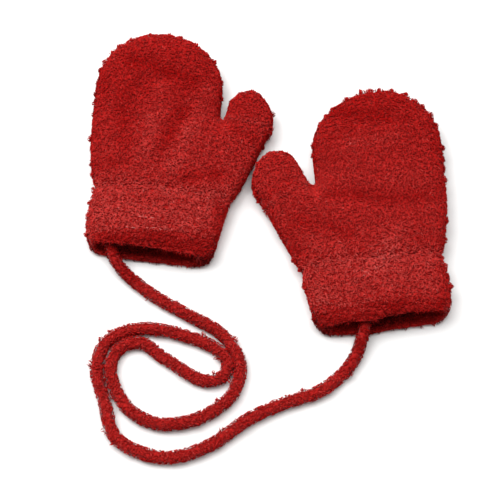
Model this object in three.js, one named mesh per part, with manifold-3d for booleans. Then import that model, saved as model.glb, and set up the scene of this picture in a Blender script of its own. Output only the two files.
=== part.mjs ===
// A pair of baby mittens in plush knit, laid flat side by side and joined by a long knitted cord.
// Millimetres. +X to the right, +Y from the cuffs to the fingertips, +Z up from the table.
// Each mitten is modelled in a frame of its own: X is across, positive towards the thumb,
// Y runs from the cuff's mouth to the fingertips, and Z is the height above the table.
import * as THREE from 'three';
import { mergeVertices } from 'three/addons/utils/BufferGeometryUtils.js';
import Module from 'manifold-3d';

const wasm = await Module();
wasm.setup();
const { smoothstep, lerp, degToRad } = THREE.MathUtils;

// Driving sizes of one mitten, nap included.
const wall = 3.6; // knitted ground and its nap
const seamGap = 0.3; // between pieces that are knitted or sewn together
const handHalfWidth = 35.8;
const handRise = 19.4; // top of the back of the hand above the table
const tipStart = 98; // where the hand starts to round off to the fingertips
const seamAlong = 31.2; // the cuff's seam, from the mouth's corners
const seamTilt = 6.3; // degrees: the thumb side of the cuff lies nearer the mouth
const sideHeight = 8; // the height at which the back and the palm meet along the sides
const crotchAlong = 77.3; // where the thumb parts from the hand
const crotchWidth = 1.3;
const gussetShare = 0.66; // where the gusset starts at the cuff's seam, as a share of the width
const lipBack = 4.6; // how far the cuff's upper lip is drawn back
const cornerBack = { little: 4.6, thumb: 6 }; // how far the mouth's corners are drawn back
const mouthSkew = 0.3; // the mouth gapes more on the little finger's side
const lipsMet = { little: 1.6, thumb: 7.5 }; // at the mouth's two ends the lips lie together

// The cut of the cuff: a row for each section, with its two edges and its height.
// Negative rows reach out in front of the mouth's corners.
const cuffRows = [
  { along: -6.2, little: -33.8, thumb: 34.3, rise: 15.8 },
  { along: 1, little: -34.8, thumb: 35.5, rise: 16.8 },
  { along: 11, little: -34.5, thumb: 37.2, rise: 17.2 },
  { along: 20, little: -33.8, thumb: 38.8, rise: 17.2 },
  { along: 27.5, little: -32.6, thumb: 40.8, rise: 16.6 },
  { along: seamAlong - seamGap / 2, little: -31.2, thumb: 41.2, rise: 15.4 },
];
const lipAlong = -8.2; // the lower lip at its middle
const lipTurns = [30, 60, 90, 120, 150]; // degrees round the lip, from its outer face to its inner one

// The cut of the palm, from the cuff's seam to the crotch, with the gusset that widens to the thumb.
const palmRows = [
  { along: seamAlong + seamGap / 2, little: -31.2, thumb: 41.4, rise: 15.6 },
  { along: 34.5, little: -33.2, thumb: 44.2, rise: 17.2 },
  { along: 41, little: -34.2, thumb: 48.0, rise: 18.2 },
  { along: 48, little: -35.0, thumb: 52.2, rise: 18.9 },
  { along: 55, little: -35.6, thumb: 56.2, rise: handRise },
  { along: 61, little: -36.0, thumb: 59.0, rise: handRise },
  { along: 66, little: -36.2, thumb: 61.2, rise: handRise },
  { along: 70, little: -36.2, thumb: 62.2, rise: handRise },
  { along: 74, little: -36.1, thumb: 62.1, rise: handRise },
  { along: crotchAlong, little: -handHalfWidth, thumb: 61.3, rise: handRise },
];

const thumbRise = 15.8;
const thumbSunk = 0.72; // how much lower the thumb's root lies, inside the palm
const thumbRoot = -19;

// How each mitten lies: where its edges lie off the shared cut, its thumb, and its largest folds.
// A fold is a soft trough between two points, and one with a negative depth is a ridge.
const leftLie = {
  name: 'left',
  mirror: 1,
  place: [-61.44, -41.74],
  lean: 1.0,
  reach: 132.2,
  edges: [
    { along: 34, little: 0, hand: 0, thumb: 0 },
    { along: 58, little: 0, hand: -0.6, thumb: -0.8 },
    { along: 77, little: 0, hand: -0.9, thumb: -0.3 },
    { along: 90, little: 0.2, hand: -0.3, thumb: 0 },
    { along: 104, little: 0.4, hand: 0.2, thumb: 0 },
    { along: 134, little: -1.2, hand: -1.2, thumb: 0 },
  ],
  lip: { back: 0, swell: 0, across: 0 },
  thumb: {
    lean: 15,
    rows: [
      { from: thumbRoot, inner: 8.4, outer: 9.8 },
      { from: -10, inner: 10.8, outer: 12.8 },
      { from: -3, inner: 12.3, outer: 15.2 },
      { from: 4, inner: 12.5, outer: 14.7 },
      { from: 8.5, inner: 12.4, outer: 12.7 },
      { from: 12, inner: 11.0, outer: 10.3 },
      { from: 14.8, inner: 9.2, outer: 7.6 },
      { from: 17, inner: 7.0, outer: 4.6 },
      { from: 18.4, inner: 4.8, outer: 2.2 },
      { from: 19.1, inner: 2.6, outer: 0 },
    ],
  },
  folds: [
    { x1: -12, y1: 106, x2: 20, y2: 92, depth: 0.9, width: 5 },
    { x1: -8, y1: 113, x2: 20, y2: 100, depth: -0.5, width: 5 },
    { x1: -14, y1: 88, x2: -15, y2: 58, depth: 1.0, width: 6 },
    { x1: 18, y1: 76, x2: 9, y2: 54, depth: 1.1, width: 5 },
    { x1: 5, y1: 88, x2: -1, y2: 52, depth: -0.8, width: 6 },
    { x1: 31, y1: 88, x2: 17, y2: 46, depth: -1.0, width: 6 },
    { x1: 16, y1: 34, x2: 36, y2: 37, depth: 1.4, width: 5 },
    { x1: -32, y1: 41, x2: -16, y2: 42, depth: 0.8, width: 4.5 },
  ],
};
const rightLie = {
  name: 'right',
  mirror: -1,
  place: [58.86, -82.04],
  lean: -0.5,
  reach: 134.8,
  edges: [
    { along: -8, little: -1.7, hand: 0, thumb: 1.1 },
    { along: 20, little: -1.2, hand: 0, thumb: 0.8 },
    { along: 31, little: -0.6, hand: 0, thumb: -0.6 },
    { along: 46, little: -1.5, hand: -1.6, thumb: -1.4 },
    { along: 60, little: -2.0, hand: -2.4, thumb: -0.9 },
    { along: 66, little: -2.0, hand: -2.8, thumb: 0.4 },
    { along: 70, little: -2.0, hand: -3.0, thumb: 2.0 },
    { along: 77, little: -2.0, hand: -3.2, thumb: 3.2 },
    { along: 94, little: -2.3, hand: -2.6, thumb: 3.2 },
    { along: 106, little: -2.5, hand: -2.0, thumb: 3.2 },
    { along: 137, little: -5.8, hand: -5.8, thumb: 3.2 },
  ],
  lip: { back: 2, swell: 1.5, across: 6 },
  thumb: {
    lean: 30,
    rows: [
      { from: thumbRoot, inner: 8.4, outer: 10.4 },
      { from: -10, inner: 10.8, outer: 14.0 },
      { from: -3, inner: 12.5, outer: 16.7 },
      { from: 3, inner: 12.8, outer: 17.2 },
      { from: 8, inner: 12.9, outer: 16.0 },
      { from: 11.5, inner: 12.8, outer: 14.2 },
      { from: 14.6, inner: 12.0, outer: 11.3 },
      { from: 17.2, inner: 10.2, outer: 8.0 },
      { from: 19.2, inner: 7.6, outer: 4.9 },
      { from: 20.2, inner: 4.8, outer: 2.4 },
      { from: 20.8, inner: 2.2, outer: 0.6 },
    ],
  },
  folds: [
    { x1: 9, y1: 111, x2: -17, y2: 114, depth: 0.9, width: 5 },
    { x1: 24, y1: 65, x2: 2, y2: 62, depth: 1.1, width: 5 },
    { x1: 22, y1: 73, x2: -2, y2: 70, depth: -0.5, width: 5 },
    { x1: -5, y1: 58, x2: -22, y2: 62, depth: 1.0, width: 5 },
    { x1: 38, y1: 48, x2: 15, y2: 41, depth: 1.0, width: 4.5 },
    { x1: 46, y1: 46, x2: 36, y2: 33, depth: 1.3, width: 4 },
    { x1: 12, y1: 84, x2: -14, y2: 80, depth: -0.9, width: 7 },
  ],
};

// The cord: a round plush knit, one hand-laid line from inside one cuff to inside the other.
const cordRadius = 3;
const cordSides = 8;
const cordSteps = 80;
const cordRoute = [
  [-82.8, -32.3, 6.95], [-81.8, -41.7, 6.95], [-79.6, -48.5, 6.8], [-73.8, -55.3, 4.0],
  [-59.2, -67.3, 3.1], [-39.0, -79.3, 3.1], [-25.2, -87.4, 3.1], [-16.8, -97.3, 3.1],
  [-13.7, -107.3, 3.1], [-17.2, -119.9, 3.1], [-28.0, -130.1, 3.1], [-42.0, -135.5, 3.1],
  [-56.0, -135.7, 3.1], [-68.8, -128.9, 3.1], [-77.0, -116.5, 3.1], [-79.2, -104.8, 3.1],
  [-74.6, -96.1, 3.1], [-65.0, -93.5, 3.1], [-51.0, -102.7, 3.1], [-32.0, -113.7, 3.1],
  [-22.6, -111.5, 3.1], [-20.2, -103.9, 3.1], [-26.2, -96.7, 3.1], [-41.0, -90.1, 3.1],
  [-57.0, -86.1, 3.1], [-72.0, -87.1, 3.1], [-82.8, -94.3, 3.1], [-86.2, -107.3, 3.1],
  [-81.2, -125.3, 3.1], [-75.6, -142.1, 3.1], [-63.0, -150.3, 3.1], [-47.0, -152.9, 3.1],
  [-29.0, -147.1, 3.1], [-9.0, -133.3, 3.1], [7.0, -125.9, 3.1], [27.2, -118.5, 3.1],
  [42.0, -105.1, 3.1], [47.0, -94.9, 4.8], [49.0, -87.7, 6.95], [51.6, -73.3, 6.95],
];

const knit = { color: 0x99201f, roughness: 0.95, metalness: 0 };

// The crown of a section: 0 at both edges (x is -1 or 1), 1 at the middle.
const crown = (x, squareness) => (1 - Math.min(1, Math.abs(x)) ** squareness) ** (1 / squareness);
const crownSquareness = 2.5;
const bedSquareness = 6;
const bedFlat = 1.06; // above 1, so that the underside is truly flat where it rests

// Reads a column of a short table, row to row, at a distance along.
function readTable(rows, along, column) {
  const next = rows.findIndex((row) => row.along >= along);
  if (next === 0) return rows[0][column];
  if (next < 0) return rows.at(-1)[column];
  const [a, b] = [rows[next - 1], rows[next]];
  return lerp(a[column], b[column], (along - a.along) / (b.along - a.along));
}

// How much the folds take off the height at a point of the back.
function foldDepth(folds, x, y) {
  let depth = 0;
  for (const fold of folds) {
    const line = new THREE.Line3(
      new THREE.Vector3(fold.x1, fold.y1, 0),
      new THREE.Vector3(fold.x2, fold.y2, 0),
    );
    const away = line.closestPointToPoint(new THREE.Vector3(x, y, 0), true, new THREE.Vector3());
    const distance = Math.hypot(away.x - x, away.y - y) / fold.width;
    depth += fold.depth * Math.exp(-distance * distance);
  }
  return depth;
}

// Places across a piece from edge to edge, closer together towards both edges.
function stationsAcross(left, right, columns) {
  return Array.from({ length: columns + 1 }, (_, i) => {
    const share = (1 - Math.cos((Math.PI * i) / columns)) / 2;
    return lerp(left, right, share);
  });
}

// Places across a stretch that ends at the valley, closer together at the outer edge,
// and at the valley too as it deepens.
function stationsToValley(edge, valley, columns, deepened) {
  return Array.from({ length: columns + 1 }, (_, i) => {
    const open = 1 - Math.cos((Math.PI * i) / columns / 2);
    const closed = (1 - Math.cos((Math.PI * i) / columns)) / 2;
    return lerp(edge, valley, lerp(open, closed, deepened));
  });
}

// The height of a crowned tube's back, or of its underside, at a place across it.
function tubeHeight({ left, right, rise, floor, middle }, x, isUpper) {
  const share = (2 * x - left - right) / (right - left);
  if (isUpper) return middle + (rise - middle) * crown(share, crownSquareness);
  return middle + (floor - middle) * Math.min(1, bedFlat * crown(share, bedSquareness));
}

// One closed ring: an upper row from edge to edge, and a lower row back.
// heightAt(x, isUpper) gives the section, and placeAt(x, height, isUpper) where a point of it lies.
function crossRing(stations, heightAt, placeAt) {
  const upper = stations.map((x) => placeAt(x, heightAt(x, true), true));
  const lower = stations.slice(1, -1).map((x) => placeAt(x, heightAt(x, false), false));
  return [...upper, ...lower.reverse()];
}

// A closed solid through rings of equally many points. Rings that come back to the first
// make a hollow band, and otherwise the ends are closed from the upper row to the lower one.
function loft(rings, isBand = false) {
  const count = rings[0].length;
  const columns = count / 2;
  const positions = rings.flat().flatMap((p) => [p.x, p.y, p.z]);
  const faces = [];
  const addQuad = (a, b, c, d) => faces.push(a, b, c, a, c, d);
  const stretches = isBand ? rings.length : rings.length - 1;
  for (let r = 0; r < stretches; r++) {
    const here = r * count;
    const next = ((r + 1) % rings.length) * count;
    for (let i = 0; i < count; i++) {
      const j = (i + 1) % count;
      addQuad(here + i, here + j, next + j, next + i);
    }
  }
  if (!isBand) {
    const last = (rings.length - 1) * count;
    for (let i = 0; i < columns; i++) {
      const [u0, u1] = [i, i + 1];
      const [l0, l1] = [(count - i) % count, count - i - 1];
      addQuad(u0, l0, l1, u1);
      addQuad(last + u0, last + u1, last + l1, last + l0);
    }
  }
  const geometry = new THREE.BufferGeometry();
  geometry.setAttribute('position', new THREE.Float32BufferAttribute(positions, 3));
  geometry.setIndex(faces);
  return geometry;
}

// A solid for joining and cutting, from a closed geometry with its faces either way out.
function toSolid(geometry) {
  const bare = new THREE.BufferGeometry();
  bare.setAttribute('position', geometry.getAttribute('position'));
  bare.setIndex(geometry.index);
  const merged = mergeVertices(bare, 1e-4);
  const triVerts = new Uint32Array(merged.index.array);
  const vertProperties = new Float32Array(merged.attributes.position.array);
  const made = new wasm.Manifold(new wasm.Mesh({ numProp: 3, vertProperties, triVerts }));
  if (made.volume() > 0) return made;
  for (let i = 0; i < triVerts.length; i += 3) {
    [triVerts[i + 1], triVerts[i + 2]] = [triVerts[i + 2], triVerts[i + 1]];
  }
  return new wasm.Manifold(new wasm.Mesh({ numProp: 3, vertProperties, triVerts }));
}

function toGeometry(solid) {
  const { vertProperties, numProp, triVerts } = solid.getMesh();
  const positions = [];
  for (let i = 0; i < vertProperties.length; i += numProp) {
    positions.push(...vertProperties.subarray(i, i + 3));
  }
  const geometry = new THREE.BufferGeometry();
  geometry.setAttribute('position', new THREE.Float32BufferAttribute(positions, 3));
  geometry.setIndex([...triVerts]);
  return geometry;
}

function makeMesh(name, solid) {
  const mesh = new THREE.Mesh(toGeometry(solid), new THREE.MeshStandardMaterial(knit));
  mesh.name = name;
  return mesh;
}

// The cuff: a flattened tube with round lips, its mouth slanted and its upper lip drawn back.
function cuffSolid(lie) {
  const columns = 18;
  const ring = (row, inset) => {
    const atMouth = 1 - smoothstep(row.along, lipAlong, seamAlong);
    const met = (inset / wall) * smoothstep(atMouth, 0.75, 1);
    const left = row.little + readTable(lie.edges, row.along, 'little');
    const right = row.thumb + readTable(lie.edges, row.along, 'thumb');
    const tube = {
      left: left + inset + met * lipsMet.little,
      right: right - inset - met * lipsMet.thumb,
      rise: row.rise - inset,
      floor: inset,
      middle: sideHeight,
    };
    const shareOf = (x) => (2 * x - left - right) / (right - left);
    const placeAt = (x, z, isUpper) => {
      const share = shareOf(x);
      const gape = isUpper ? 1 - mouthSkew * atMouth * smoothstep(share, -0.6, 0.8) : 1;
      const height = sideHeight + (z - sideHeight) * gape;
      const swell = lie.lip.swell * Math.exp(-(((x - lie.lip.across) / 9) ** 2));
      const corner = share < 0 ? cornerBack.little : cornerBack.thumb;
      const back = lipBack * (height / row.rise) + corner * Math.abs(share) ** 8;
      const tilt = -(x - (left + right) / 2) * Math.tan(degToRad(seamTilt));
      const y = row.along + atMouth ** 2 * (back + lie.lip.back - swell) + tilt;
      return new THREE.Vector3(x, y, height);
    };
    return crossRing(
      stationsAcross(tube.left, tube.right, columns),
      (x, isUpper) => tubeHeight(tube, x, isUpper),
      placeAt,
    );
  };
  const outer = cuffRows.map((row) => ring(row, 0));
  const inner = cuffRows.map((row) => ring(row, wall)).reverse();
  const lip = lipTurns.map(degToRad).reverse().map((turn) => {
    const along = lerp(cuffRows[0].along, lipAlong, Math.sin(turn));
    return ring({ ...cuffRows[0], along }, (wall * (1 - Math.cos(turn))) / 2);
  });
  return toSolid(loft([...lip, ...outer, ...inner], true));
}

// The palm and its gusset, as one flattened loft that parts in two tubes at the crotch.
function palmLoft(lie, inset) {
  const start = { ...palmRows[0], along: seamAlong - 6 };
  const rows = inset > 0 ? [start, ...palmRows] : palmRows;
  const parting = crotchAlong - inset;
  return toSolid(loft(rows.map((row) => {
    const along = row.along - inset * smoothstep(row.along, 50, crotchAlong);
    const edge = (column) => readTable(lie.edges, row.along, column);
    const whole = {
      left: row.little + edge('little') + inset,
      right: row.thumb + edge('thumb') - inset,
      rise: row.rise - inset,
      floor: inset,
      middle: sideHeight,
    };
    const valley = handHalfWidth + edge('hand');
    const hand = { ...whole, right: valley - inset };
    const thumb = { ...whole, left: valley + crotchWidth + inset, rise: thumbRise - 0.4 - inset };
    const parted = 0.97 * smoothstep(along, parting - 17, parting);
    const partedBelow = 0.97 * smoothstep(along, parting - 7, parting);
    const tilt = Math.tan(degToRad(seamTilt)) * (1 - smoothstep(along, seamAlong, 66));
    const centre = (whole.left + whole.right) / 2;
    const heightAt = (x, isUpper) => {
      const tubes = [hand, thumb].map((tube) => tubeHeight(tube, x, isUpper));
      const apart = isUpper ? Math.max(...tubes) : Math.min(...tubes);
      return lerp(tubeHeight(whole, x, isUpper), apart, isUpper ? parted : partedBelow);
    };
    const placeAt = (x, z, isUpper) => {
      const y = along - (x - centre) * tilt;
      const share = (2 * x - whole.left - whole.right) / (whole.right - whole.left);
      const fold = isUpper && inset === 0 ? foldDepth(lie.folds, x, y) * (1 - share ** 4) : 0;
      return new THREE.Vector3(x, y, z - fold);
    };
    const deepened = smoothstep(along, parting - 25, parting - 8);
    const gusset = lerp(whole.left, whole.right, gussetShare);
    const meeting = lerp(gusset, valley, smoothstep(along, seamAlong, parting - 19));
    const stations = [
      ...stationsToValley(whole.left, meeting, 15, deepened),
      ...stationsToValley(whole.right, meeting + crotchWidth, 9, deepened).reverse(),
    ];
    return crossRing(stations, heightAt, placeAt);
  })));
}

// The hand from inside the palm, past the crotch, to the rounded fingertips.
function handLoft(lie, inset) {
  const columns = 18;
  const sunk = [
    { along: crotchAlong - 9, taper: 0.93 },
    { along: crotchAlong - 0.4, taper: 0.985 },
  ];
  const straight = [crotchAlong + 0.2, 84, 91, tipStart].map((along) => ({ along, taper: 1 }));
  const tipLength = lie.reach - tipStart - inset;
  const tip = [16, 31, 45, 57, 67, 76, 84].map(degToRad).map((angle) => ({
    along: tipStart + tipLength * Math.sin(angle),
    taper: Math.cos(angle),
  }));
  return toSolid(loft([...sunk, ...straight, ...tip].map(({ along, taper }) => {
    const half = (handHalfWidth - inset) * taper;
    const tube = {
      left: readTable(lie.edges, along, 'little') - half,
      right: readTable(lie.edges, along, 'hand') + half,
      rise: sideHeight + (handRise - inset - sideHeight) * taper ** 0.55,
      floor: sideHeight - (sideHeight - inset) * Math.min(1, bedFlat * taper ** 0.3),
      middle: sideHeight,
    };
    const fade = (x) => (1 - (Math.min(1, Math.abs(x) / half)) ** 4) * taper;
    const placeAt = (x, z, isUpper) => {
      const fold = isUpper && inset === 0 ? foldDepth(lie.folds, x, along) * fade(x) : 0;
      return new THREE.Vector3(x, along, z - fold);
    };
    const stations = stationsAcross(tube.left, tube.right, columns);
    return crossRing(stations, (x, isUpper) => tubeHeight(tube, x, isUpper), placeAt);
  })));
}

// The thumb's own axis: its direction, the point on it level with the crotch, and its seam,
// which is square to the axis and runs through the crotch.
function thumbAxis(lie) {
  const lean = degToRad(lie.thumb.lean);
  const half = readTable(lie.thumb.rows.map((row) => ({ ...row, along: row.from })), 0, 'inner');
  const crotch = handHalfWidth + readTable(lie.edges, crotchAlong, 'hand') + crotchWidth;
  return {
    out: new THREE.Vector3(Math.sin(lean), Math.cos(lean), 0),
    side: new THREE.Vector3(Math.cos(lean), -Math.sin(lean), 0),
    root: new THREE.Vector3(crotch + half / Math.cos(lean), crotchAlong, 0),
    seam: -half * Math.tan(lean),
    half,
  };
}

function thumbLoft(lie, inset) {
  const columns = 13;
  const { out, side, root } = thumbAxis(lie);
  const middle = sideHeight - 0.6;
  const { rows } = lie.thumb;
  const widest = Math.max(...rows.map((row) => row.inner + row.outer));
  const tipFrom = rows.at(-1).from;
  const open = rows.filter((row) => row.inner + row.outer > 2 * inset + 2);
  return toSolid(loft(open.map((row) => {
    const taper = row.from > 0 ? (row.inner + row.outer) / widest : 1;
    const sunk = row.from < 0 ? lerp(1, thumbSunk, row.from / thumbRoot) : 1;
    const tube = {
      left: inset - row.inner,
      right: row.outer - inset,
      rise: middle + (thumbRise - inset - middle) * taper ** 0.6 * sunk,
      floor: middle - (middle - inset) * Math.min(1, bedFlat * taper ** 0.3),
      middle,
    };
    const from = row.from - inset * smoothstep(row.from, 4, tipFrom);
    return crossRing(
      stationsAcross(tube.left, tube.right, columns),
      (x, isUpper) => tubeHeight(tube, x, isUpper),
      (x, z) => root.clone().addScaledVector(out, from).addScaledVector(side, x).setZ(z),
    );
  })));
}

// A block that holds everything past a line square to the thumb's axis.
function thumbBlock(lie, from) {
  const { out, side, root, half } = thumbAxis(lie);
  const block = new THREE.BoxGeometry(60, 60, 60);
  block.deleteAttribute('normal');
  block.deleteAttribute('uv');
  const centre = root.clone().addScaledVector(out, from + 30).addScaledVector(side, 29.6 - half);
  block.applyMatrix4(new THREE.Matrix4().makeBasis(side, out, new THREE.Vector3(0, 0, 1)));
  block.translate(centre.x, centre.y, 0);
  return toSolid(block);
}

// One mitten: its cuff, hand and thumb, each a wall round the same hollow.
function makeMitten(lie) {
  const shell = [palmLoft, handLoft, thumbLoft]
    .map((piece) => piece(lie, 0))
    .reduce((sum, piece) => sum.add(piece));
  const hollow = [palmLoft, handLoft, thumbLoft]
    .map((piece) => piece(lie, wall))
    .reduce((sum, piece) => sum.add(piece));
  const knitted = shell.subtract(hollow);
  const { seam } = thumbAxis(lie);
  const mitten = new THREE.Group();
  mitten.add(
    makeMesh(`${lie.name}_cuff`, cuffSolid(lie)),
    makeMesh(`${lie.name}_hand`, knitted.subtract(thumbBlock(lie, seam))),
    makeMesh(`${lie.name}_thumb`, knitted.intersect(thumbBlock(lie, seam + seamGap))),
  );
  mitten.scale.x = lie.mirror;
  mitten.rotation.z = -degToRad(lie.lean);
  mitten.position.set(lie.place[0], lie.place[1], 0);
  return mitten;
}

function makeCord() {
  const section = new THREE.Shape();
  for (let i = 0; i < cordSides; i++) {
    const angle = ((i + 0.5) / cordSides) * 2 * Math.PI;
    section[i ? 'lineTo' : 'moveTo'](cordRadius * Math.cos(angle), cordRadius * Math.sin(angle));
  }
  section.closePath();
  const points = cordRoute.map((point) => new THREE.Vector3(...point));
  const route = new THREE.CatmullRomCurve3(points, false, 'centripetal');
  const tube = new THREE.ExtrudeGeometry(section, {
    steps: cordSteps,
    extrudePath: route,
    bevelEnabled: false,
  });
  const mesh = new THREE.Mesh(tube, new THREE.MeshStandardMaterial(knit));
  mesh.name = 'cord';
  return mesh;
}

const pair = new THREE.Group();
pair.add(makeMitten(leftLie), makeMitten(rightLie), makeCord());

export default pair;
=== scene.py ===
import math
import bpy
import numpy as np
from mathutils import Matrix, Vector, noise
from mathutils.bvhtree import BVHTree


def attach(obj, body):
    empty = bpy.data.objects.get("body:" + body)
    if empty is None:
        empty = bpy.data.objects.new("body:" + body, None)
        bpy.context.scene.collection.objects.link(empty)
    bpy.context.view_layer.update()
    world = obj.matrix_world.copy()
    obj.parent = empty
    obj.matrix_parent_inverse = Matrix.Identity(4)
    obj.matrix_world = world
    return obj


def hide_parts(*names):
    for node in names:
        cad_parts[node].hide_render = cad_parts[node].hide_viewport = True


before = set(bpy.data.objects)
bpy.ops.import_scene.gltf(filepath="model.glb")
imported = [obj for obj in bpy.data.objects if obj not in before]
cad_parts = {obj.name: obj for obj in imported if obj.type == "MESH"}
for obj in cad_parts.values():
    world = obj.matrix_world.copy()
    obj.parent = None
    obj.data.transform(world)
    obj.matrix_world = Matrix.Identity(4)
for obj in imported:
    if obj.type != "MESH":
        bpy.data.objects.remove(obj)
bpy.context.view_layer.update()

mm = 0.001

# Each mitten's own frame: where its mouth lies, how far it leans clockwise, and its thumb's side.
# A crease is a line in the mitten's own millimetres, from x, y to x, y, with its depth and half width.
# The shell dips in a crease, and its pile gets painted shade. A negative depth stands up and gets painted
# light.
# The tone is painted light and shade on the pile at a distance from the mouth. At the mouth the painted light
# and shade change from side to side too, on the lips' front and on the inside.
# The edges' tufts stand in stretches: x from and to, y from and to, how close together, then how far out
# at least and at most.
leftMitten = {
    "name": "left", "mouthAt": (-61.44, -41.74), "lean": 1.0, "thumbSide": 1, "seed": 11,
    "crotchAt": (36, 78), "tuftWidthMm": 2.3,
    "tone": [
        (0, -0.14), (3, 0.18), (6, 0.32), (12, 0.3), (28, 0.25), (36, 0.15), (50, 0.08), (74, 0.0),
        (92, -0.12), (106, -0.12), (134, -0.08),
    ],
    "lipFrontShading": [(-28, 0.45), (-18, 0.0), (-8, -0.3), (0, -0.9), (12, -0.5), (18, 0.0), (34, 0.1)],
    "lipInsideShading": [(-28, 0.6), (-20, -0.1), (0, 0.0), (8, 0.35), (20, 0.6), (36, 0.4)],
    "edges": [
        (-42, -28, 14, 110, 4.4, 0.7, 1.2), (-34, 30, 110, 140, 5.2, 0.6, 1.1),
        (28, 41, 88, 112, 8.0, 0.4, 0.7), (42, 68, 78, 104, 5.0, 0.8, 1.3),
        (-40, -24, -10, 14, 3.8, 1.0, 1.4), (46, 62, 32, 60, 9.0, 0.6, 1.3),
    ],
    "creases": [
        (-14, 110, 20, 96, 0.8, 3.6), (-19, 88, -15, 55, 0.6, 4.2), (14, 77, 4, 53, 0.8, 3.6),
        (2, 92, -4, 52, -0.6, 4.4), (27, 92, 12, 44, -0.6, 4.8), (16, 36, 37, 40, 1.0, 3.6),
        (-33, 45, -15, 46, 0.8, 3.0), (41, 68, 53, 63, 0.5, 3.0), (-10, 26, 18, 22, 0.3, 2.8),
        (-24, 2, 12, 1, 0.7, 3.0), (35, 0, 37, 22, 1.3, 4.0),
    ],
}
rightMitten = {
    "name": "right", "mouthAt": (58.86, -82.04), "lean": -0.5, "thumbSide": -1, "seed": 47,
    "crotchAt": (33, 78), "tuftWidthMm": 2.9,
    "tone": [
        (0, -0.2), (3, 0.1), (6, 0.2), (12, 0.2), (28, 0.24), (36, 0.15), (56, 0.04), (74, 0.08),
        (92, -0.02), (108, -0.08), (134, -0.2),
    ],
    "lipFrontShading": [(-36, 0.4), (-24, 0.5), (-16, 0.0), (-8, -0.4), (4, -0.7), (10, -0.5), (20, 0.1), (36, 0.4)],
    "lipInsideShading": [(-36, 0.5), (-24, 0.2), (-12, -0.2), (4, -0.5), (14, 0.0), (22, 0.4), (36, 0.7)],
    "edges": [
        (-44, -30, 14, 112, 5.0, 0.8, 1.3), (-36, 32, 112, 142, 4.6, 0.9, 1.5),
        (24, 38, 94, 122, 6.0, 0.6, 1.0), (44, 66, 88, 106, 8.0, 0.6, 0.9),
        (60, 72, 62, 72, 3.0, 1.6, 2.4), (46, 66, 34, 62, 7.0, 0.7, 1.2),
        (30, 52, -8, 34, 5.0, 1.1, 1.6), (-42, -22, -8, 14, 4.0, 1.1, 1.6),
    ],
    "creases": [
        (22, 117, -6, 114, 0.7, 4.0), (24, 67, 0, 65, 0.8, 3.4), (-5, 63, -27, 66, 0.7, 3.4),
        (42, 52, 15, 44, 0.7, 3.6), (49, 45, 38, 31, 0.8, 3.0), (14, 95, -10, 101, -0.6, 5.0),
        (-10, 46, 2, 26, -0.6, 5.0), (45, 74, 60, 67, 0.5, 3.2), (-32, 40, -18, 42, 0.4, 3.0),
        (-30, 6, 0, 2, 0.9, 4.2), (12, 2, 32, 8, -0.6, 5.0), (-34, 12, -31, 24, 0.6, 4.5),
    ],
}


def selectOnly(obj):
    bpy.ops.object.select_all(action="DESELECT")
    obj.select_set(True)
    bpy.context.view_layer.objects.active = obj


def linear(hexColour):
    values = [int(hexColour[i:i + 2], 16) / 255 for i in (1, 3, 5)]
    return tuple(v / 12.92 if v <= 0.04045 else ((v + 0.055) / 1.055) ** 2.4 for v in values) + (1.0,)


def addNode(tree, kind, links=(), inputs=None, **settings):
    node = tree.nodes.new(kind)
    for name, value in settings.items():
        setattr(node, name, value)
    for name, value in (inputs or {}).items():
        node.inputs[name].default_value = value
    for source, output, target in links:
        tree.links.new(source.outputs[output], node.inputs[target])
    return node


cameraPose = {"aim": (-8.94, -40.04, 0.0), "elevation": 65.0, "distance": 620.0, "lens": 84.15}


# The camera looks down on the pair from the cuffs' side.
def placeCamera(pose):
    bpy.ops.object.select_all(action="DESELECT")
    tilt = math.radians(90 - pose["elevation"])
    aim = Vector(pose["aim"]) * mm
    back = Vector((0, -math.sin(tilt), math.cos(tilt))) * pose["distance"] * mm
    bpy.ops.object.camera_add(location=aim + back, rotation=(tilt, 0, 0))
    camera = bpy.context.object
    camera.data.sensor_width = 36
    camera.data.lens = pose["lens"]
    camera.data.clip_start = 0.01
    bpy.context.scene.camera = camera


placeCamera(cameraPose)
print("camera placed")

plushYarn = {
    "stops": [  # painted shade from the hollow between the locks, past shade, depth and body, to painted light and a painted glint at a tip
        (0.0, "#4E0000"), (0.12, "#840302"), (0.38, "#AC0A08"), (0.57, "#C22926"), (0.84, "#D65650"),
        (1.0, "#E8847D"),
    ],
    "roughness": 0.88, "sheen": 0.1, "sheenTint": "#C8504C", "mottleMm": 5.0, "mottle": 0.1,
}
knitGround = {"dark": "#7C0A08", "light": "#B41A17", "roughness": 0.95, "loopMm": 1.3, "bumpMm": 0.5}
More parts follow.
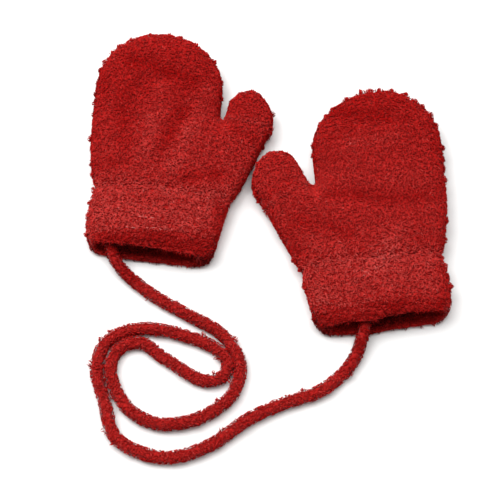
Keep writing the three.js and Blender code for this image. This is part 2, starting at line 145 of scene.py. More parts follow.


# Plush yarn is brushed polyester: matt, a little sheen at the fibre tips; its colour holds painted shade down
# between the tufts and painted light at the tips.
def makePlushYarn(name, values):
    material = bpy.data.materials.new(name)
    material.use_nodes = True
    tree = material.node_tree
    tree.nodes.clear()
    fibre = addNode(tree, "ShaderNodeAttribute", attribute_name="fibre")
    ramp = addNode(tree, "ShaderNodeValToRGB", [(fibre, "Fac", "Fac")])
    stops = ramp.color_ramp.elements
    for end in (0, -1):
        stops[end].position, stops[end].color = values["stops"][end][0], linear(values["stops"][end][1])
    for position, colour in values["stops"][1:-1]:
        stops.new(position).color = linear(colour)
    place = addNode(tree, "ShaderNodeTexCoord")
    mottle = addNode(
        tree, "ShaderNodeTexNoise", [(place, "Object", "Vector")],
        inputs={"Scale": 1 / (values["mottleMm"] * mm), "Detail": 3.0, "Roughness": 0.6},
    )
    dim = addNode(tree, "ShaderNodeMapRange", [(mottle, "Fac", "Value")], inputs={
        "From Min": 0.3, "From Max": 0.7, "To Min": 1 - values["mottle"], "To Max": 1 + values["mottle"],
    })
    tone = addNode(tree, "ShaderNodeHueSaturation", [(ramp, "Color", "Color"), (dim, "Result", "Value")])
    cloth = addNode(tree, "ShaderNodeBsdfPrincipled", [(tone, "Color", "Base Color")], inputs={
        "Roughness": values["roughness"], "Sheen Weight": values["sheen"], "Sheen Roughness": 0.4,
        "Sheen Tint": linear(values["sheenTint"]), "Specular IOR Level": 0.1,
    })
    addNode(tree, "ShaderNodeOutputMaterial", [(cloth, "BSDF", "Surface")])
    return material


# The knitted ground under the pile: dense loops, nearly hidden.
def makeKnitGround(name, values):
    material = bpy.data.materials.new(name)
    material.use_nodes = True
    tree = material.node_tree
    tree.nodes.clear()
    place = addNode(tree, "ShaderNodeTexCoord")
    loops = addNode(
        tree, "ShaderNodeTexNoise", [(place, "Object", "Vector")],
        inputs={"Scale": 1 / (values["loopMm"] * mm), "Detail": 2.0, "Roughness": 0.55},
    )
    ramp = addNode(tree, "ShaderNodeValToRGB", [(loops, "Fac", "Fac")])
    stops = ramp.color_ramp.elements
    stops[0].position, stops[0].color = 0.35, linear(values["dark"])
    stops[1].position, stops[1].color = 0.68, linear(values["light"])
    bump = addNode(tree, "ShaderNodeBump", [(loops, "Fac", "Height")], inputs={
        "Strength": 0.8, "Distance": values["bumpMm"] * mm,
    })
    cloth = addNode(
        tree, "ShaderNodeBsdfPrincipled", [(ramp, "Color", "Base Color"), (bump, "Normal", "Normal")],
        inputs={"Roughness": values["roughness"], "Specular IOR Level": 0.15, "Sheen Weight": 0.1},
    )
    addNode(tree, "ShaderNodeOutputMaterial", [(cloth, "BSDF", "Surface")])
    return material


plush = makePlushYarn("brushed polyester plush yarn", plushYarn)
ground = makeKnitGround("knitted polyester ground", knitGround)


def meshFromArrays(name, points, triangles, material, fibre=None):
    mesh = bpy.data.meshes.new(name)
    mesh.vertices.add(len(points))
    mesh.vertices.foreach_set("co", np.asarray(points, np.float32).ravel())
    mesh.loops.add(len(triangles) * 3)
    mesh.loops.foreach_set("vertex_index", np.asarray(triangles, np.int32).ravel())
    mesh.polygons.add(len(triangles))
    mesh.polygons.foreach_set("loop_start", np.arange(len(triangles), dtype=np.int32) * 3)
    mesh.update(calc_edges=True)
    if fibre is not None:
        layer = mesh.attributes.new("fibre", "FLOAT", "POINT")
        layer.data.foreach_set("value", np.asarray(fibre, np.float32))
    mesh.materials.append(material)
    piece = bpy.data.objects.new(name, mesh)
    bpy.context.scene.collection.objects.link(piece)
    return piece


def unit(vectors):
    return vectors / np.maximum(np.linalg.norm(vectors, axis=1, keepdims=True), 1e-12)


# Smooth noise from -1 to 1 at many points, for grain of a size in millimetres.
def grainAt(points, sizeMm, offset=0.0):
    scale = 1 / (sizeMm * mm)
    start = Vector((offset, offset, offset))
    return np.array([noise.noise(Vector(point) * scale + start) for point in points.tolist()])


# Draws the locks round each chosen root together, most of all the middle ones, to one point.
def gatherLocks(roots, chosen, tips, radius, strength):
    apex, pull = roots.copy(), np.zeros((len(roots), 1))
    for root, tip in zip(chosen, tips):
        away = np.linalg.norm(roots - root, axis=1) / radius
        near = away < 1
        apex[near] = tip
        pull[near] = (strength * (1 - away[near] ** 2))[:, None]
    return apex, pull


lockShape = {
    "middleAlong": 0.45, "tipAlong": 0.95,  # shares of the length
    "middleCurl": 0.7, "tipCurl": 1.6, "turns": (90, 210, 330), "toneShare": 0.5, "glintTone": 0.2,
    "lowestMm": 0.1,
}


# Lays one tuft at each root: a three-sided lock that rises, bends over and tapers to both ends.
def layTufts(name, roots, normals, alongs, rng, values, apex, pull, tone=0.0, size=1.0):
    count = len(roots)
    size = np.broadcast_to(size, count)[:, None]
    normals, alongs = unit(normals), unit(alongs)
    across = np.cross(normals, alongs)
    length = rng.uniform(*values["lengthMm"], count)[:, None] * mm * size
    rise = rng.uniform(*values["riseMm"], count)[:, None] * mm * size
    settle = rng.uniform(*values["tipMm"], count)[:, None] * mm * size
    curl = rng.normal(0, values["curlMm"], count)[:, None] * mm
    thick = rng.uniform(*values["thickMm"], count)[:, None] * mm
    start = roots - normals * values["sunkMm"] * mm
    middle = roots + alongs * length * lockShape["middleAlong"] + normals * rise
    middle = middle + across * curl * lockShape["middleCurl"]
    tip = roots + alongs * length * lockShape["tipAlong"] + normals * settle
    tip = tip + across * curl * lockShape["tipCurl"]
    tip = tip * (1 - pull) + apex * pull
    middle = middle * (1 - pull / 2) + apex * pull / 2
    heading = unit(tip - start)
    sideways = unit(across - heading * np.sum(across * heading, axis=1, keepdims=True))
    upwards = np.cross(heading, sideways)
    ring = []
    for turn in lockShape["turns"]:
        angle = math.radians(turn)
        ring.append(middle + (sideways * math.cos(angle) + upwards * math.sin(angle)) * thick / 2)
    points = np.stack([start] + ring + [tip], axis=1)
    points[:, :, 2] = np.maximum(points[:, :, 2], lockShape["lowestMm"] * mm)
    faces = np.array([(0, 2, 1), (0, 3, 2), (0, 1, 3), (1, 2, 4), (2, 3, 4), (3, 1, 4)])
    triangles = (faces[None] + np.arange(count)[:, None, None] * 5).reshape(-1, 3)
    # Each lock's colour runs from painted shade at its root to painted light at its tip, shifted by random
    # unevenness and by the given tone.
    bright = rng.normal(0, values["unevenness"], count) + tone
    fibre = np.repeat(np.array(values["fibre"])[None], count, axis=0)
    fibre = fibre + bright[:, None] * lockShape["toneShare"]
    fibre[rng.random(count) < values["glints"]] += lockShape["glintTone"]
    fibre = np.clip(fibre[:, [0, 1, 1, 1, 2]], 0, 1)
    return meshFromArrays(name, points.reshape(-1, 3), triangles, plush, fibre.ravel())


# The cord: a round plush knit. Its line repeats the solid's, from inside one cuff to inside the other.
cordValues = {
    "route": [
        (-0.0828, -0.0323, 0.00695), (-0.0818, -0.0417, 0.00695), (-0.0796, -0.0485, 0.0068),
        (-0.0738, -0.0553, 0.004), (-0.0592, -0.0673, 0.0031), (-0.039, -0.0793, 0.0031),
        (-0.0252, -0.0874, 0.0031), (-0.0168, -0.0973, 0.0031), (-0.0137, -0.1073, 0.0031),
        (-0.0172, -0.1199, 0.0031), (-0.028, -0.1301, 0.0031), (-0.042, -0.1355, 0.0031),
        (-0.056, -0.1357, 0.0031), (-0.0688, -0.1289, 0.0031), (-0.077, -0.1165, 0.0031),
        (-0.0792, -0.1048, 0.0031), (-0.0746, -0.0961, 0.0031), (-0.065, -0.0935, 0.0031),
        (-0.051, -0.1027, 0.0031), (-0.032, -0.1137, 0.0031), (-0.0226, -0.1115, 0.0031),
        (-0.0202, -0.1039, 0.0031), (-0.0262, -0.0967, 0.0031), (-0.041, -0.0901, 0.0031),
        (-0.057, -0.0861, 0.0031), (-0.072, -0.0871, 0.0031), (-0.0828, -0.0943, 0.0031),
        (-0.0862, -0.1073, 0.0031), (-0.0812, -0.1253, 0.0031), (-0.0756, -0.1421, 0.0031),
        (-0.063, -0.1503, 0.0031), (-0.047, -0.1529, 0.0031), (-0.029, -0.1471, 0.0031),
        (-0.009, -0.1333, 0.0031), (0.007, -0.1259, 0.0031), (0.0272, -0.1185, 0.0031),
        (0.042, -0.1051, 0.0031), (0.047, -0.0949, 0.0048), (0.049, -0.0877, 0.00695),
        (0.0516, -0.0733, 0.00695),
    ],
    "lengthM": 0.565, "diameterMm": 6.0, "coreMm": 5.2, "stepMm": 1.5, "sides": 12, "lumpMm": 0.4,
    "lumpSizeMm": 3.2, "tufts": 9600, "swirl": 0.9, "seed": 5,
    "strayFromMm": 30.0, "strayEveryMm": (5, 19), "strayMm": (4.6, 6.4), "strayWidthMm": 1.7,
    "strayPull": 0.97, "strayTurn": 1.5, "strayLeanMm": 0.5,  # how it turns from straight up, and leans along
    "edgeShade": 0.45, "edgeFrom": 0.75, "mouthShade": 0.5, "mouthMm": 42, "mouthFadeMm": 14,
    "pile": {
        "lengthMm": (1.9, 3.2), "riseMm": (0.4, 0.7), "tipMm": (0.0, 0.35), "curlMm": 0.45,
        "thickMm": (0.46, 0.7), "sunkMm": 0.35, "fibre": (0.26, 0.5, 0.67), "unevenness": 0.13,
        "glints": 0.012,
    },
}


# A curve through all the points whose bends stay even where the points lie unevenly.
def evenLine(points, step):
    points = [Vector(p) for p in points]
    points = [points[0] * 2 - points[1]] + points + [points[-1] * 2 - points[-2]]
    line = []
    for a, b, c, d in zip(points, points[1:], points[2:], points[3:]):
        knots = [0.0]
        for p, q in ((a, b), (b, c), (c, d)):
            knots.append(knots[-1] + max((q - p).length, 1e-6) ** 0.5)
        pieces = max(2, round((c - b).length / step))
        for i in range(pieces):
            t = knots[1] + (knots[2] - knots[1]) * i / pieces
            low = [a.lerp(b, t / knots[1])]
            low.append(b.lerp(c, (t - knots[1]) / (knots[2] - knots[1])))
            low.append(c.lerp(d, (t - knots[2]) / (knots[3] - knots[2])))
            first = low[0].lerp(low[1], t / knots[2])
            second = low[1].lerp(low[2], (t - knots[1]) / (knots[3] - knots[1]))
            line.append(first.lerp(second, (t - knots[1]) / (knots[2] - knots[1])))
    return np.array([list(p) for p in line + [points[-2]]])


# The cord's knitted core: a lumpy tube along its line.
def makeCordCore(line, side, over, values):
    sides, count = values["sides"], len(line)
    turns = np.arange(sides) / sides * 2 * math.pi
    outward = side[:, None] * np.cos(turns)[None, :, None] + over[:, None] * np.sin(turns)[None, :, None]
    surface = line[:, None] + outward * (values["coreMm"] / 2 * mm)
    lumps = grainAt(surface.reshape(-1, 3), values["lumpSizeMm"]).reshape(count, sides, 1)
    lumps = lumps * values["lumpMm"] * mm
    points = np.concatenate([(surface + outward * lumps).reshape(-1, 3), line[:1], line[-1:]])
    faces = []
    for row in range(0, (count - 1) * sides, sides):
        for i in range(sides):
            j = (i + 1) % sides
            faces += [(row + i, row + sides + j, row + j), (row + i, row + sides + i, row + sides + j)]
    first, last, end = len(points) - 2, len(points) - 1, (count - 1) * sides
    for i in range(sides):
        j = (i + 1) % sides
        faces += [(first, i, j), (last, end + j, end + i)]
    return meshFromArrays("neckCordCore", points, faces, ground)


# Each stray tuft draws the locks near its root out to one point.
def gatherStrays(rng, line, ahead, side, over, run, roots, values):
    strayRoots, strayTips, place = [], [], values["strayFromMm"]
    while place < run[-1] - values["strayFromMm"]:
        k = int(np.searchsorted(run, place))
        turn = rng.uniform(-values["strayTurn"], values["strayTurn"])
        heading = over[k] * math.cos(turn) + side[k] * math.sin(turn)
        strayRoots.append(line[k] + heading * (values["coreMm"] / 2 * mm))
        out = rng.uniform(*values["strayMm"]) * mm
        strayTips.append(line[k] + heading * out + ahead[k] * rng.normal(0, values["strayLeanMm"] * mm))
        place += rng.uniform(*values["strayEveryMm"])
    return gatherLocks(roots, strayRoots, strayTips, values["strayWidthMm"] * mm, values["strayPull"])


def makeCord(values):
    rng = np.random.default_rng(values["seed"])
    line = evenLine(values["route"], values["stepMm"] * mm)
    ahead = unit(np.gradient(line, axis=0))
    side = unit(np.cross(ahead, np.array([[0, 0, 1.0]])))
    over = np.cross(side, ahead)
    core = makeCordCore(line, side, over, values)
    tufts, count = values["tufts"], len(line)
    place = (np.arange(tufts) + rng.random(tufts)) / tufts * (count - 1.001)  # never on the last point
    low, share = place.astype(int), (place % 1)[:, None]
    centre = line[low] * (1 - share) + line[low + 1] * share
    turn = (rng.random(tufts) * 2 * math.pi)[:, None]
    normals = side[low] * np.cos(turn) + over[low] * np.sin(turn)
    swirl = rng.normal(0, values["swirl"], tufts)[:, None]
    around = np.cross(normals, ahead[low])
    alongs = (ahead[low] * np.cos(swirl) + around * np.sin(swirl)) * rng.choice([-1, 1], tufts)[:, None]
    roots = centre + normals * (values["coreMm"] / 2 * mm)
    run = np.append(0, np.cumsum(np.linalg.norm(np.diff(line, axis=0), axis=1))) / mm
    apex, pull = gatherStrays(rng, line, ahead, side, over, run, roots, values)
    # Painted shade on the cord's sides and underside, and near each end, where the lips shade it.
    tone = -values["edgeShade"] * np.clip(values["edgeFrom"] - normals[:, 2], 0, 1)
    along = np.interp(place, np.arange(count), run)
    fromEnd = np.minimum(along, run[-1] - along)
    tone -= values["mouthShade"] * np.clip((values["mouthMm"] - fromEnd) / values["mouthFadeMm"], 0, 1)
    pile = layTufts("neckCordPile", roots, normals, alongs, rng, values["pile"], apex, pull, tone)
    for piece in (core, pile):
        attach(piece, "root")
    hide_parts("cord")
    faceCount = len(core.data.polygons) + len(pile.data.polygons)
    print("cord made", round(run[-1] * mm, 4), "m long,", faceCount, "triangles")


makeCord(cordValues)

shellValues = {
    "cuff": {"voxelMm": 1.15, "smooth": 9, "lumpMm": 0.35, "rowDepthMm": 0.16},
    "hand": {"voxelMm": 1.35, "smooth": 9, "lumpMm": 0.3, "rowDepthMm": 0.14},
    "thumb": {"voxelMm": 1.1, "smooth": 8, "lumpMm": 0.3, "rowDepthMm": 0.1},
    "mergeMm": 0.01, "softness": 0.5, "seamReachMm": 2.2,
    "napMm": 1.15, "creaseShare": 0.4, "creaseFromMm": 7,  # creases lie on the back, above this height
    "alongRows": 0.38, "lumpSizeMm": 3.4,  # lumps are drawn out along the rows
    "rowMm": 4.9, "rowSlant": 0.11, "rowWander": 0.8, "rowWanderMm": 15,
}
pileValues = {
    "cuff": {"perSquareMm": 1.95, "insideTo": 14},
    "hand": {"perSquareMm": 1.9, "insideTo": 0},
    "thumb": {"perSquareMm": 2.0, "insideTo": 0},
    "lock": {
        "lengthMm": (2.3, 3.9), "riseMm": (0.6, 0.95), "tipMm": (0.1, 0.65), "curlMm": 0.75,
        "thickMm": (0.43, 0.68), "sunkMm": 0.3, "fibre": (0.28, 0.5, 0.66), "unevenness": 0.08,
        "glints": 0.012,
    },
    "underside": 0.3, "undersideMm": 3,  # less pile grows below
    "hollowMm": 26,  # how far across the hollow can be
    "swirlMm": 6.0, "swirl": 2.2, "swirlUneven": 0.8,
    # Rows and clumps, drawn out across the mitten, and fine grain.
    "alongRows": 0.4, "rowMm": 2.6, "rowSlant": 0.275, "rowWander": 1.1, "rowWanderMm": 12, "rowTone": 0.04,
    "rowSize": 0.06, "clumpMm": 3.0, "clumpSize": 0.08, "clumpTone": 0.04, "grainMm": 1.3, "grainTone": 0.08,
    # Creases, the hollow, the steep sides and the rim of the little finger's side, all with painted shade;
    # the seams, with bigger locks and painted light; and the crotch.
    "creaseShade": 0.32, "insideShade": 0.7, "sideShade": 0.5, "sideFrom": 1.5, "rimShade": 0.2, "rimFromMm": 28,
    "rimMm": 8, "seamWidthMm": 1.5, "seamSize": 0.12, "seamLight": 0.12, "crotchMm": 8, "crotchSize": 0.6,
    # The lips' front, with smaller locks and painted shade, and the lowest pile.
    "frontShade": 0.8, "frontSize": 0.5, "frontDark": 0.6, "lowMm": 4, "lowFadeMm": 3, "lowSize": 0.55,
    # The edges' tufts, a few strays, and the knobs on the lips, with painted light on the knobs and painted
    # shade between them.
    "edgeSteepness": 0.55, "edgeFromMm": 2.5, "outlineMm": 8.5, "outlineTipMm": 4.8, "outlineBandMm": 1.5,
    "tipFromMm": 106, "tipFadeMm": 14, "tuftFromMm": 1.9, "tuftLean": 0.35, "tuftPull": 0.95,
    "strayEveryMm": 8.0, "strayMm": (1.4, 2.3), "strayLean": 0.5,
    "lipMm": 7, "knobEveryMm": 3.4, "knobMm": (1.8, 2.9), "knobWidthMm": 2.0, "knobPull": 0.75,
    "knobLight": 0.5, "knobGapShade": 0.35,
}


def ownFrame(mitten):
    lean = -math.radians(mitten["lean"])
    ahead = np.array([-math.sin(lean), math.cos(lean), 0])
    across = np.array([math.cos(lean), math.sin(lean), 0]) * mitten["thumbSide"]
    mouth = np.array([*mitten["mouthAt"], 0]) * mm
    return mouth, across, ahead


# How deep the listed creases lie at points of the back, in metres, each uneven along its length.
def creaseDepth(mitten, x, y):
    depth = np.zeros(len(x))
    for x1, y1, x2, y2, deep, width in mitten["creases"]:
        run = np.array([x2 - x1, y2 - y1], float)
        share = np.clip(((x - x1) * run[0] + (y - y1) * run[1]) / (run @ run), 0, 1)
        away = np.hypot(x - x1 - share * run[0], y - y1 - share * run[1])
        uneven = 0.75 + 0.35 * np.sin(share * 5 + x1) ** 2
        depth += deep * uneven * np.exp(-(away / width) ** 2)
    return depth * mm


seamValues = {"insideMm": 0.3, "lookMm": 3.2, "fullShare": 1.7, "fadeMm": 2.0, "touchMm": 0.8}


# A search tree of each solid next to this part's own.
def nextPieces(mitten, part):
    for other in ("cuff", "hand", "thumb"):
        if other != part:
            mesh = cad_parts[f"{mitten['name']}_{other}"].data
            mesh.calc_loop_triangles()
            corners = [tuple(triangle.vertices) for triangle in mesh.loop_triangles]
            yield BVHTree.FromPolygons([v.co.copy() for v in mesh.vertices], corners)


# From 0 to 1: how far a place faces the next piece across a seam, where the wall keeps its full size.
def seamShare(mitten, part, points, normals):
    share = np.zeros(len(points))
    for tree in nextPieces(mitten, part):
        for i, (point, normal) in enumerate(zip(points.tolist(), normals.tolist())):
            start = Vector(point) - Vector(normal) * seamValues["insideMm"] * mm
            hit = tree.ray_cast(start, Vector(normal), seamValues["lookMm"] * mm)
            if hit[0] is not None:
                facing = seamValues["fullShare"] - hit[3] / (seamValues["fadeMm"] * mm)
                share[i] = max(share[i], min(1.0, facing))
    return share


# From 0 to 1: how near places lie to the pieces next to theirs, along the seams.
def nearNextPiece(mitten, part, points, reachMm):
    near = np.zeros(len(points))
    for tree in nextPieces(mitten, part):
        away = np.array([tree.find_nearest(Vector(p))[3] for p in points.tolist()]) / mm
        past = (away - seamValues["touchMm"]).clip(0)
        near = np.maximum(near, np.exp(-((past / reachMm) ** 2)))
    return near


def vertexArrays(obj):
    mesh = obj.data
    points = np.empty(len(mesh.vertices) * 3)
    mesh.vertices.foreach_get("co", points)
    normals = np.empty(len(mesh.vertices) * 3)
    mesh.vertices.foreach_get("normal", normals)
    return points.reshape(-1, 3), normals.reshape(-1, 3)


# The knitted wall of one piece: its solid's form, softened, with lumps, rows and creases.
def makeShell(mitten, part, values):
    node = f"{mitten['name']}_{part}"
    name = f"{mitten['name']}{part.capitalize()}Knit"
    piece = bpy.data.objects.new(name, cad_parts[node].data.copy())
    piece.data.name = name
    bpy.context.scene.collection.objects.link(piece)
    selectOnly(piece)
    bpy.ops.object.mode_set(mode="EDIT")
    bpy.ops.mesh.select_all(action="SELECT")
    bpy.ops.mesh.remove_doubles(threshold=values["mergeMm"] * mm)
    bpy.ops.object.mode_set(mode="OBJECT")
    remesh = piece.modifiers.new("even loops", "REMESH")
    remesh.mode = "VOXEL"
    remesh.voxel_size = values[part]["voxelMm"] * mm
    bpy.ops.object.modifier_apply(modifier=remesh.name)
    free = piece.vertex_groups.new(name="away from the seams")
    near = nearNextPiece(mitten, part, vertexArrays(piece)[0], values["seamReachMm"])
    for i, share in enumerate((1 - near).tolist()):
        free.add([i], share, "REPLACE")
    soften = piece.modifiers.new("soften", "SMOOTH")
    soften.vertex_group = free.name
    soften.factor = values["softness"]
    soften.iterations = values[part]["smooth"]
    bpy.ops.object.modifier_apply(modifier=soften.name)
    points, normals = vertexArrays(piece)
    mouth, across, ahead = ownFrame(mitten)
    x, y = (points - mouth) @ across / mm, (points - mouth) @ ahead / mm
    stretched = np.stack([x * values["alongRows"], y, points[:, 2] / mm], axis=1) * mm
    lumps = grainAt(stretched, values["lumpSizeMm"], mitten["seed"])
    lumps = lumps + 0.5 * grainAt(stretched, values["lumpSizeMm"] / 2, mitten["seed"] + 3)
    wander = values["rowWander"] * grainAt(points, values["rowWanderMm"])
    rows = np.sin(2 * math.pi * (y + values["rowSlant"] * x + wander) / values["rowMm"])
    top = np.clip(normals[:, 2] * 1.6, 0, 1) * (points[:, 2] > values["creaseFromMm"] * mm)
    seam = seamShare(mitten, part, points, normals)
    inwards = values["napMm"] * mm * (1 - seam) + creaseDepth(mitten, x, y) * values["creaseShare"] * top
    outwards = (lumps * values[part]["lumpMm"] + rows * values[part]["rowDepthMm"]) * mm * (1 - seam)
    flat = np.clip(-normals[:, 2] * 3 - 1, 0, 1)  # the underside, which stays nearly flat
    points += normals * (outwards * (1 - 0.8 * flat) - inwards)[:, None]
    piece.data.vertices.foreach_set("co", points.ravel())
    piece.data.update()
    selectOnly(piece)
    bpy.ops.object.shade_smooth()
    piece.data.materials.clear()
    piece.data.materials.append(ground)
    return piece


# The shell's triangles with the area on which pile grows, and those that face the hollow.
def pileGround(mitten, part, shell, values):
    mouth, _, ahead = ownFrame(mitten)
    mesh = shell.data
    mesh.calc_loop_triangles()
    corners = np.empty(len(mesh.loop_triangles) * 3, np.int32)
    mesh.loop_triangles.foreach_get("vertices", corners)
    corners = corners.reshape(-1, 3)
    points, normals = vertexArrays(shell)
    a, b, c = (points[corners[:, i]] for i in range(3))
    face = np.cross(b - a, c - a)
    area, facing, middle = np.linalg.norm(face, axis=1) / 2, unit(face), (a + b + c) / 3
    tree = BVHTree.FromPolygons([tuple(p) for p in points], [tuple(t) for t in corners.tolist()])
    along = (middle - mouth) @ ahead / mm
    keep, inner = np.ones(len(corners)), np.zeros(len(corners))
    for i in range(len(corners)):
        out = Vector(facing[i])
        hit = tree.ray_cast(Vector(middle[i]) + out * 0.2 * mm, out, values["hollowMm"] * mm)
        if hit[0] is not None and hit[1].dot(out) < -0.2:  # the wall across faces this one
            keep[i], inner[i] = float(along[i] < values[part]["insideTo"]), 1.0
    keep[seamShare(mitten, part, middle, facing) > 0.3] = 0  # none grows inside a seam
    below = (facing[:, 2] < -0.7) & (middle[:, 2] < values["undersideMm"] * mm)
    keep = np.where(below, keep * values["underside"], keep)
    return points, normals, corners, area * keep, inner


# Spreads the roots evenly by area.
def spreadRoots(rng, groundArrays, perSquareMm):
    points, normals, corners, area, inner = groundArrays
    weight = np.cumsum(area)
    count = int(weight[-1] / mm / mm * perSquareMm)
    picks = np.searchsorted(weight, (np.arange(count) + rng.random(count)) / count * weight[-1])
    picks = np.minimum(picks, len(corners) - 1)
    u, v = rng.random((2, count, 1))
    flip = (u + v) > 1
    u, v = np.where(flip, 1 - u, u), np.where(flip, 1 - v, v)
    a, b, c = (points[corners[picks, i]] for i in range(3))
    normal = unit(sum(normals[corners[picks, i]] for i in range(3)))
    return a + (b - a) * u + (c - a) * v, normal, inner[picks]


# Combs the locks in swirls, either way across the mitten.
def combLocks(rng, mitten, roots, normal, values):
    _, across, ahead = ownFrame(mitten)
    count = len(roots)
    swirl = grainAt(roots, values["swirlMm"], 7) * values["swirl"]
    swirl = swirl + rng.normal(0, values["swirlUneven"], count)
    heading = across[None] * np.cos(swirl)[:, None] + ahead[None] * np.sin(swirl)[:, None]
    heading *= rng.choice([-1, 1], count)[:, None]
    heading = heading - normal * np.sum(heading * normal, axis=1, keepdims=True)
    weak = np.linalg.norm(heading, axis=1) < 0.25  # where the surface faces the way that it is combed
    heading[weak] = np.cross(normal[weak], ahead)
    return heading


# The rows' and clumps' tone and size, then painted light and shade along the mitten, and what creases, the
# hollow, seams, sides and the mouth do to them: painted shade, painted light and smaller or bigger locks.
def shadeLocks(mitten, part, roots, normal, inner, x, y, front, values):
    mouth, across, ahead = ownFrame(mitten)
    squeezed = [(roots - mouth) @ across * values["alongRows"], (roots - mouth) @ ahead, roots[:, 2]]
    wander = values["rowWander"] * grainAt(roots, values["rowWanderMm"])
    slanted = y + values["rowSlant"] * (x * values["alongRows"]) + wander
    rows = np.sin(2 * math.pi * slanted / values["rowMm"])
    clumps = grainAt(np.stack(squeezed, axis=1), values["clumpMm"], mitten["seed"])
    fold = creaseDepth(mitten, x, y) / mm * np.clip(normal[:, 2] * 2, 0, 1)
    size = 1 + values["rowSize"] * rows + values["clumpSize"] * clumps
    # Painted light and shade along the mitten from the tone table, plus the rows', clumps' and grain's own
    # tone.
    tone = np.interp(y, *zip(*mitten["tone"])) + values["rowTone"] * rows + values["clumpTone"] * clumps
    tone = tone + values["grainTone"] * grainAt(roots, values["grainMm"])
    # Painted shade in creases, painted light on ridges, and painted shade on the pile that faces the hollow.
    tone -= values["creaseShade"] * fold + values["insideShade"] * inner
    # Painted shade on the steep sides and on the rim of the little finger's side.
    tone -= values["sideShade"] * np.clip(1 - normal[:, 2] * values["sideFrom"], 0, 1)
    tone -= values["rimShade"] * np.clip(-(x + values["rimFromMm"]) / values["rimMm"], 0, 1)
    # Bigger locks and painted light along the seams, against the shade of the seam's groove.
    near = nearNextPiece(mitten, part, roots, values["seamWidthMm"]) * (inner < 0.5)
    size, tone = size * (1 + values["seamSize"] * near), tone + values["seamLight"] * near
    crotch = np.hypot(x - mitten["crotchAt"][0], y - mitten["crotchAt"][1]) / values["crotchMm"]
    size *= 1 - values["crotchSize"] * np.exp(-(crotch ** 2))
    # The lips' pile is packed down where it turns to the front, and gets painted shade there; across the
    # lips' front and inside, painted light and shade change from side to side.
    low = np.clip((values["lowMm"] * mm - roots[:, 2]) / (values["lowFadeMm"] * mm), 0, 1)
    size = size * (1 - values["frontSize"] * front) * (1 - values["lowSize"] * low)
    lipFrontShading = np.interp(x, *zip(*mitten["lipFrontShading"])) * front
    size = size * (1 + values["frontDark"] * np.minimum(lipFrontShading, 0))
    tone += lipFrontShading - values["frontShade"] * front + np.interp(x, *zip(*mitten["lipInsideShading"])) * inner
    return tone, size, crotch


# Goes over the candidates in a random order and picks those that lie apart, drawing a tip for each.
def pickApart(rng, candidates, roots, apartMm, drawOut, picked, tips):
    for i in rng.permutation(candidates):
        if len(picked) and np.linalg.norm(picked - roots[i], axis=1).min() < apartMm * mm:
            continue
        picked, tips = np.vstack([picked, roots[i]]), np.vstack([tips, roots[i] + drawOut(i) * mm])
    return picked, tips


# Along the edges, locks gather into small points, in the stretches given, then into a few strays.
def gatherEdges(rng, mitten, roots, normal, x, y, outside, front, crotch, values):
    _, across, ahead = ownFrame(mitten)
    steep = np.abs(normal[:, 2]) < values["edgeSteepness"]
    isEdge = steep & (roots[:, 2] > values["edgeFromMm"] * mm) & outside
    nearTip = np.clip((y - values["tipFromMm"]) / values["tipFadeMm"], 0, 1)
    outlineAt = values["outlineMm"] + values["outlineTipMm"] * nearTip
    level = isEdge & (np.abs(roots[:, 2] / mm - outlineAt) < values["outlineBandMm"])
    picked, tips = np.zeros((0, 3)), np.zeros((0, 3))
    for x1, x2, y1, y2, apart, least, most in mitten["edges"]:
        def drawTuft(i):
            reach = values["tuftFromMm"] + rng.uniform(least, most)
            lean = ahead * rng.normal(0, values["tuftLean"]) + across * rng.normal(0, values["tuftLean"])
            return normal[i] * reach + lean

        stretch = np.flatnonzero(level & (x > x1) & (x < x2) & (y > y1) & (y < y2))
        picked, tips = pickApart(rng, stretch, roots, apart, drawTuft, picked, tips)

    def drawStray(i):
        return normal[i] * rng.uniform(*values["strayMm"]) + ahead * rng.normal(0, values["strayLean"])

    elsewhere = np.flatnonzero(isEdge & (front < 0.3) & (crotch > 3))
    picked, tips = pickApart(rng, elsewhere, roots, values["strayEveryMm"], drawStray, picked, tips)
    return gatherLocks(roots, picked, tips, mitten["tuftWidthMm"] * mm, values["tuftPull"])


# The lips' pile clings together in knobs.
def gatherKnobs(rng, mitten, roots, normal, onLip, values):
    _, across, _ = ownFrame(mitten)

    def drawKnob(i):
        return normal[i] * rng.uniform(*values["knobMm"]) + across * rng.normal(0, values["strayLean"])

    none, lip = np.zeros((0, 3)), np.flatnonzero(onLip)
    picked, tips = pickApart(rng, lip, roots, values["knobEveryMm"], drawKnob, none, none)
    return gatherLocks(roots, picked, tips, values["knobWidthMm"] * mm, values["knobPull"])


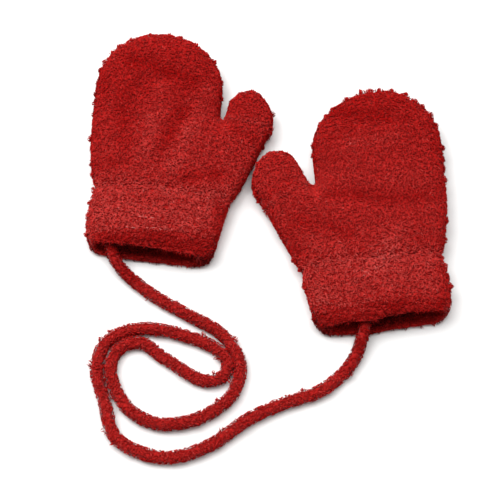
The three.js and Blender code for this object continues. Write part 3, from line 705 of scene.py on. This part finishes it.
# Grows the pile of one part: evenly spread, combed, shaded, and drawn out along the edges and lips.
def makePile(mitten, part, shell, values):
    rng = np.random.default_rng(mitten["seed"] + len(part))
    mouth, across, ahead = ownFrame(mitten)
    groundArrays = pileGround(mitten, part, shell, values)
    roots, normal, inner = spreadRoots(rng, groundArrays, values[part]["perSquareMm"])
    heading = combLocks(rng, mitten, roots, normal, values)
    x, y = (roots - mouth) @ across / mm, (roots - mouth) @ ahead / mm
    front = np.clip(-(normal @ ahead), 0, 1) * np.clip(1.4 - y / 10, 0, 1)  # fades out 14 mm from the mouth
    tone, size, crotch = shadeLocks(mitten, part, roots, normal, inner, x, y, front, values)
    outside = inner < 0.5
    apex, pull = gatherEdges(rng, mitten, roots, normal, x, y, outside, front, crotch, values)
    onLip = (y < values["lipMm"]) & (normal[:, 2] > 0.1) & (front < 0.5) & outside & (part == "cuff")
    knobApex, knobPull = gatherKnobs(rng, mitten, roots, normal, onLip, values)
    clung = knobPull[:, 0] > pull[:, 0]
    apex[clung], pull[clung] = knobApex[clung], knobPull[clung]
    knob = np.where(clung, knobPull[:, 0], 0)
    # Painted light on the knobs and painted shade on the rest of the lip.
    tone = tone + values["knobLight"] * (knob - values["knobGapShade"] * onLip)
    name = f"{mitten['name']}{part.capitalize()}Pile"
    return layTufts(name, roots, normal, heading, rng, values["lock"], apex, pull, tone, size)


for mitten in (leftMitten, rightMitten):
    for part in ("cuff", "hand", "thumb"):
        shell = makeShell(mitten, part, shellValues)
        pile = makePile(mitten, part, shell, pileValues)
        for piece in (shell, pile):
            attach(piece, "root")
        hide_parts(f"{mitten['name']}_{part}")
        faceCount = len(shell.data.polygons) * 2 + len(pile.data.polygons)
        print(shell.name, "and", pile.name, "made,", faceCount, "triangles")

# The cuff's elastic shows through the pile in short runs, in two rows above the lip.
elasticValues = {
    "colour": "#DB857D", "roughness": 0.45, "thickMm": 0.26, "standMm": 0.9, "unevenMm": 0.12, "seed": 3,
    "steps": 5, "sides": 6,
    "runs": [  # from x, y, each with its length
        (-17.2, 18.2, 1.0), (-6.2, 13.4, 2.8), (-2.7, 13.0, 1.3), (0.0, 12.9, 2.3), (-12.4, 7.1, 1.5),
        (-9.6, 6.8, 2.6), (-1.6, 7.0, 1.1), (0.6, 7.2, 2.9), (5.2, 6.5, 1.3), (7.6, 6.2, 2.1),
    ],
}


# Polyester-covered rubber thread: smooth, and pale partly in its own colour and partly as a painted glint,
# where it catches the light where the pile parts.
def makeElastic(mitten, shell, values):
    rng = np.random.default_rng(values["seed"])
    mouth, across, ahead = ownFrame(mitten)
    tree = BVHTree.FromObject(shell, bpy.context.evaluated_depsgraph_get())
    material = bpy.data.materials.new("pale elastic thread with painted glint")
    material.use_nodes = True
    shader = material.node_tree.nodes["Principled BSDF"]
    shader.inputs["Base Color"].default_value = linear(values["colour"])
    shader.inputs["Roughness"].default_value = values["roughness"]
    steps, sides = values["steps"], values["sides"]
    points, faces = [], []
    for x, y, length in values["runs"]:
        first = len(points)
        for i in range(steps):
            share = i / (steps - 1)
            at = mouth + across * (x + share * length) * mm
            at = at + ahead * (y + rng.normal(0, values["unevenMm"])) * mm
            hit = tree.ray_cast(Vector((at[0], at[1], 50 * mm)), Vector((0, 0, -1)))[0]
            lift = values["standMm"] * mm * (0.75 + 0.25 * math.sin(math.pi * share))  # sinks in at the ends
            girth = values["thickMm"] / 2 * mm * (0.35 + 0.65 * math.sin(math.pi * (0.1 + 0.8 * share)))
            for turn in range(sides):
                angle = turn * 2 * math.pi / sides
                around = ahead * math.cos(angle) + np.array([0, 0, 1]) * math.sin(angle)
                points.append(np.array([at[0], at[1], hit.z + lift]) + around * girth)
        for i in range(steps - 1):
            for turn in range(sides):
                a, b = first + i * sides + turn, first + i * sides + (turn + 1) % sides
                faces += [(a, b, b + sides), (a, b + sides, a + sides)]
        last = first + (steps - 1) * sides
        for turn in range(1, sides - 1):
            faces += [(first, first + turn + 1, first + turn), (last, last + turn, last + turn + 1)]
    return meshFromArrays(f"{mitten['name']}CuffElastic", points, faces, material)


leftElastic = makeElastic(leftMitten, bpy.data.objects["leftCuffKnit"], elasticValues)
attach(leftElastic, "root")
print("elastic placed,", len(leftElastic.data.polygons), "triangles")

floorValues = {"size": 6.0, "colour": "#F4F4F3", "roughness": 0.9}


def makeFloor(values):
    bpy.ops.object.select_all(action="DESELECT")
    bpy.ops.mesh.primitive_plane_add(size=values["size"], location=(0, 0, 0))
    floor = bpy.context.object
    floor.name = "paleFloor"
    material = bpy.data.materials.new("pale matt paper")
    material.use_nodes = True
    shader = material.node_tree.nodes["Principled BSDF"]
    shader.inputs["Base Color"].default_value = linear(values["colour"])
    shader.inputs["Roughness"].default_value = values["roughness"]
    floor.data.materials.append(material)


makeFloor(floorValues)

lightValues = {
    "sky": 0.36, "aim": (0, -0.04, 0),
    "lamps": [
        {"name": "left softbox", "at": (-0.6, 0.3, 1.0), "size": 0.7, "watts": 10.7},
        {"name": "overhead fill", "at": (0.1, 0.25, 1.3), "size": 1.0, "watts": 11.6},
    ],
}


def makeLights(values):
    scene = bpy.context.scene
    scene.world = bpy.data.worlds.new("soft sky")
    scene.world.use_nodes = True
    sky = scene.world.node_tree.nodes["Background"]
    sky.inputs["Color"].default_value = (1, 1, 1, 1)
    sky.inputs["Strength"].default_value = values["sky"]
    for lamp in values["lamps"]:
        bpy.ops.object.select_all(action="DESELECT")
        bpy.ops.object.light_add(type="AREA", location=lamp["at"])
        light = bpy.context.object
        light.name = lamp["name"]
        light.data.size = lamp["size"]
        light.data.energy = lamp["watts"]
        aim = Vector(values["aim"]) - Vector(lamp["at"])
        light.rotation_euler = aim.to_track_quat("-Z", "Y").to_euler()
    scene.view_settings.view_transform = "Standard"


makeLights(lightValues)
print("floor and lights placed")
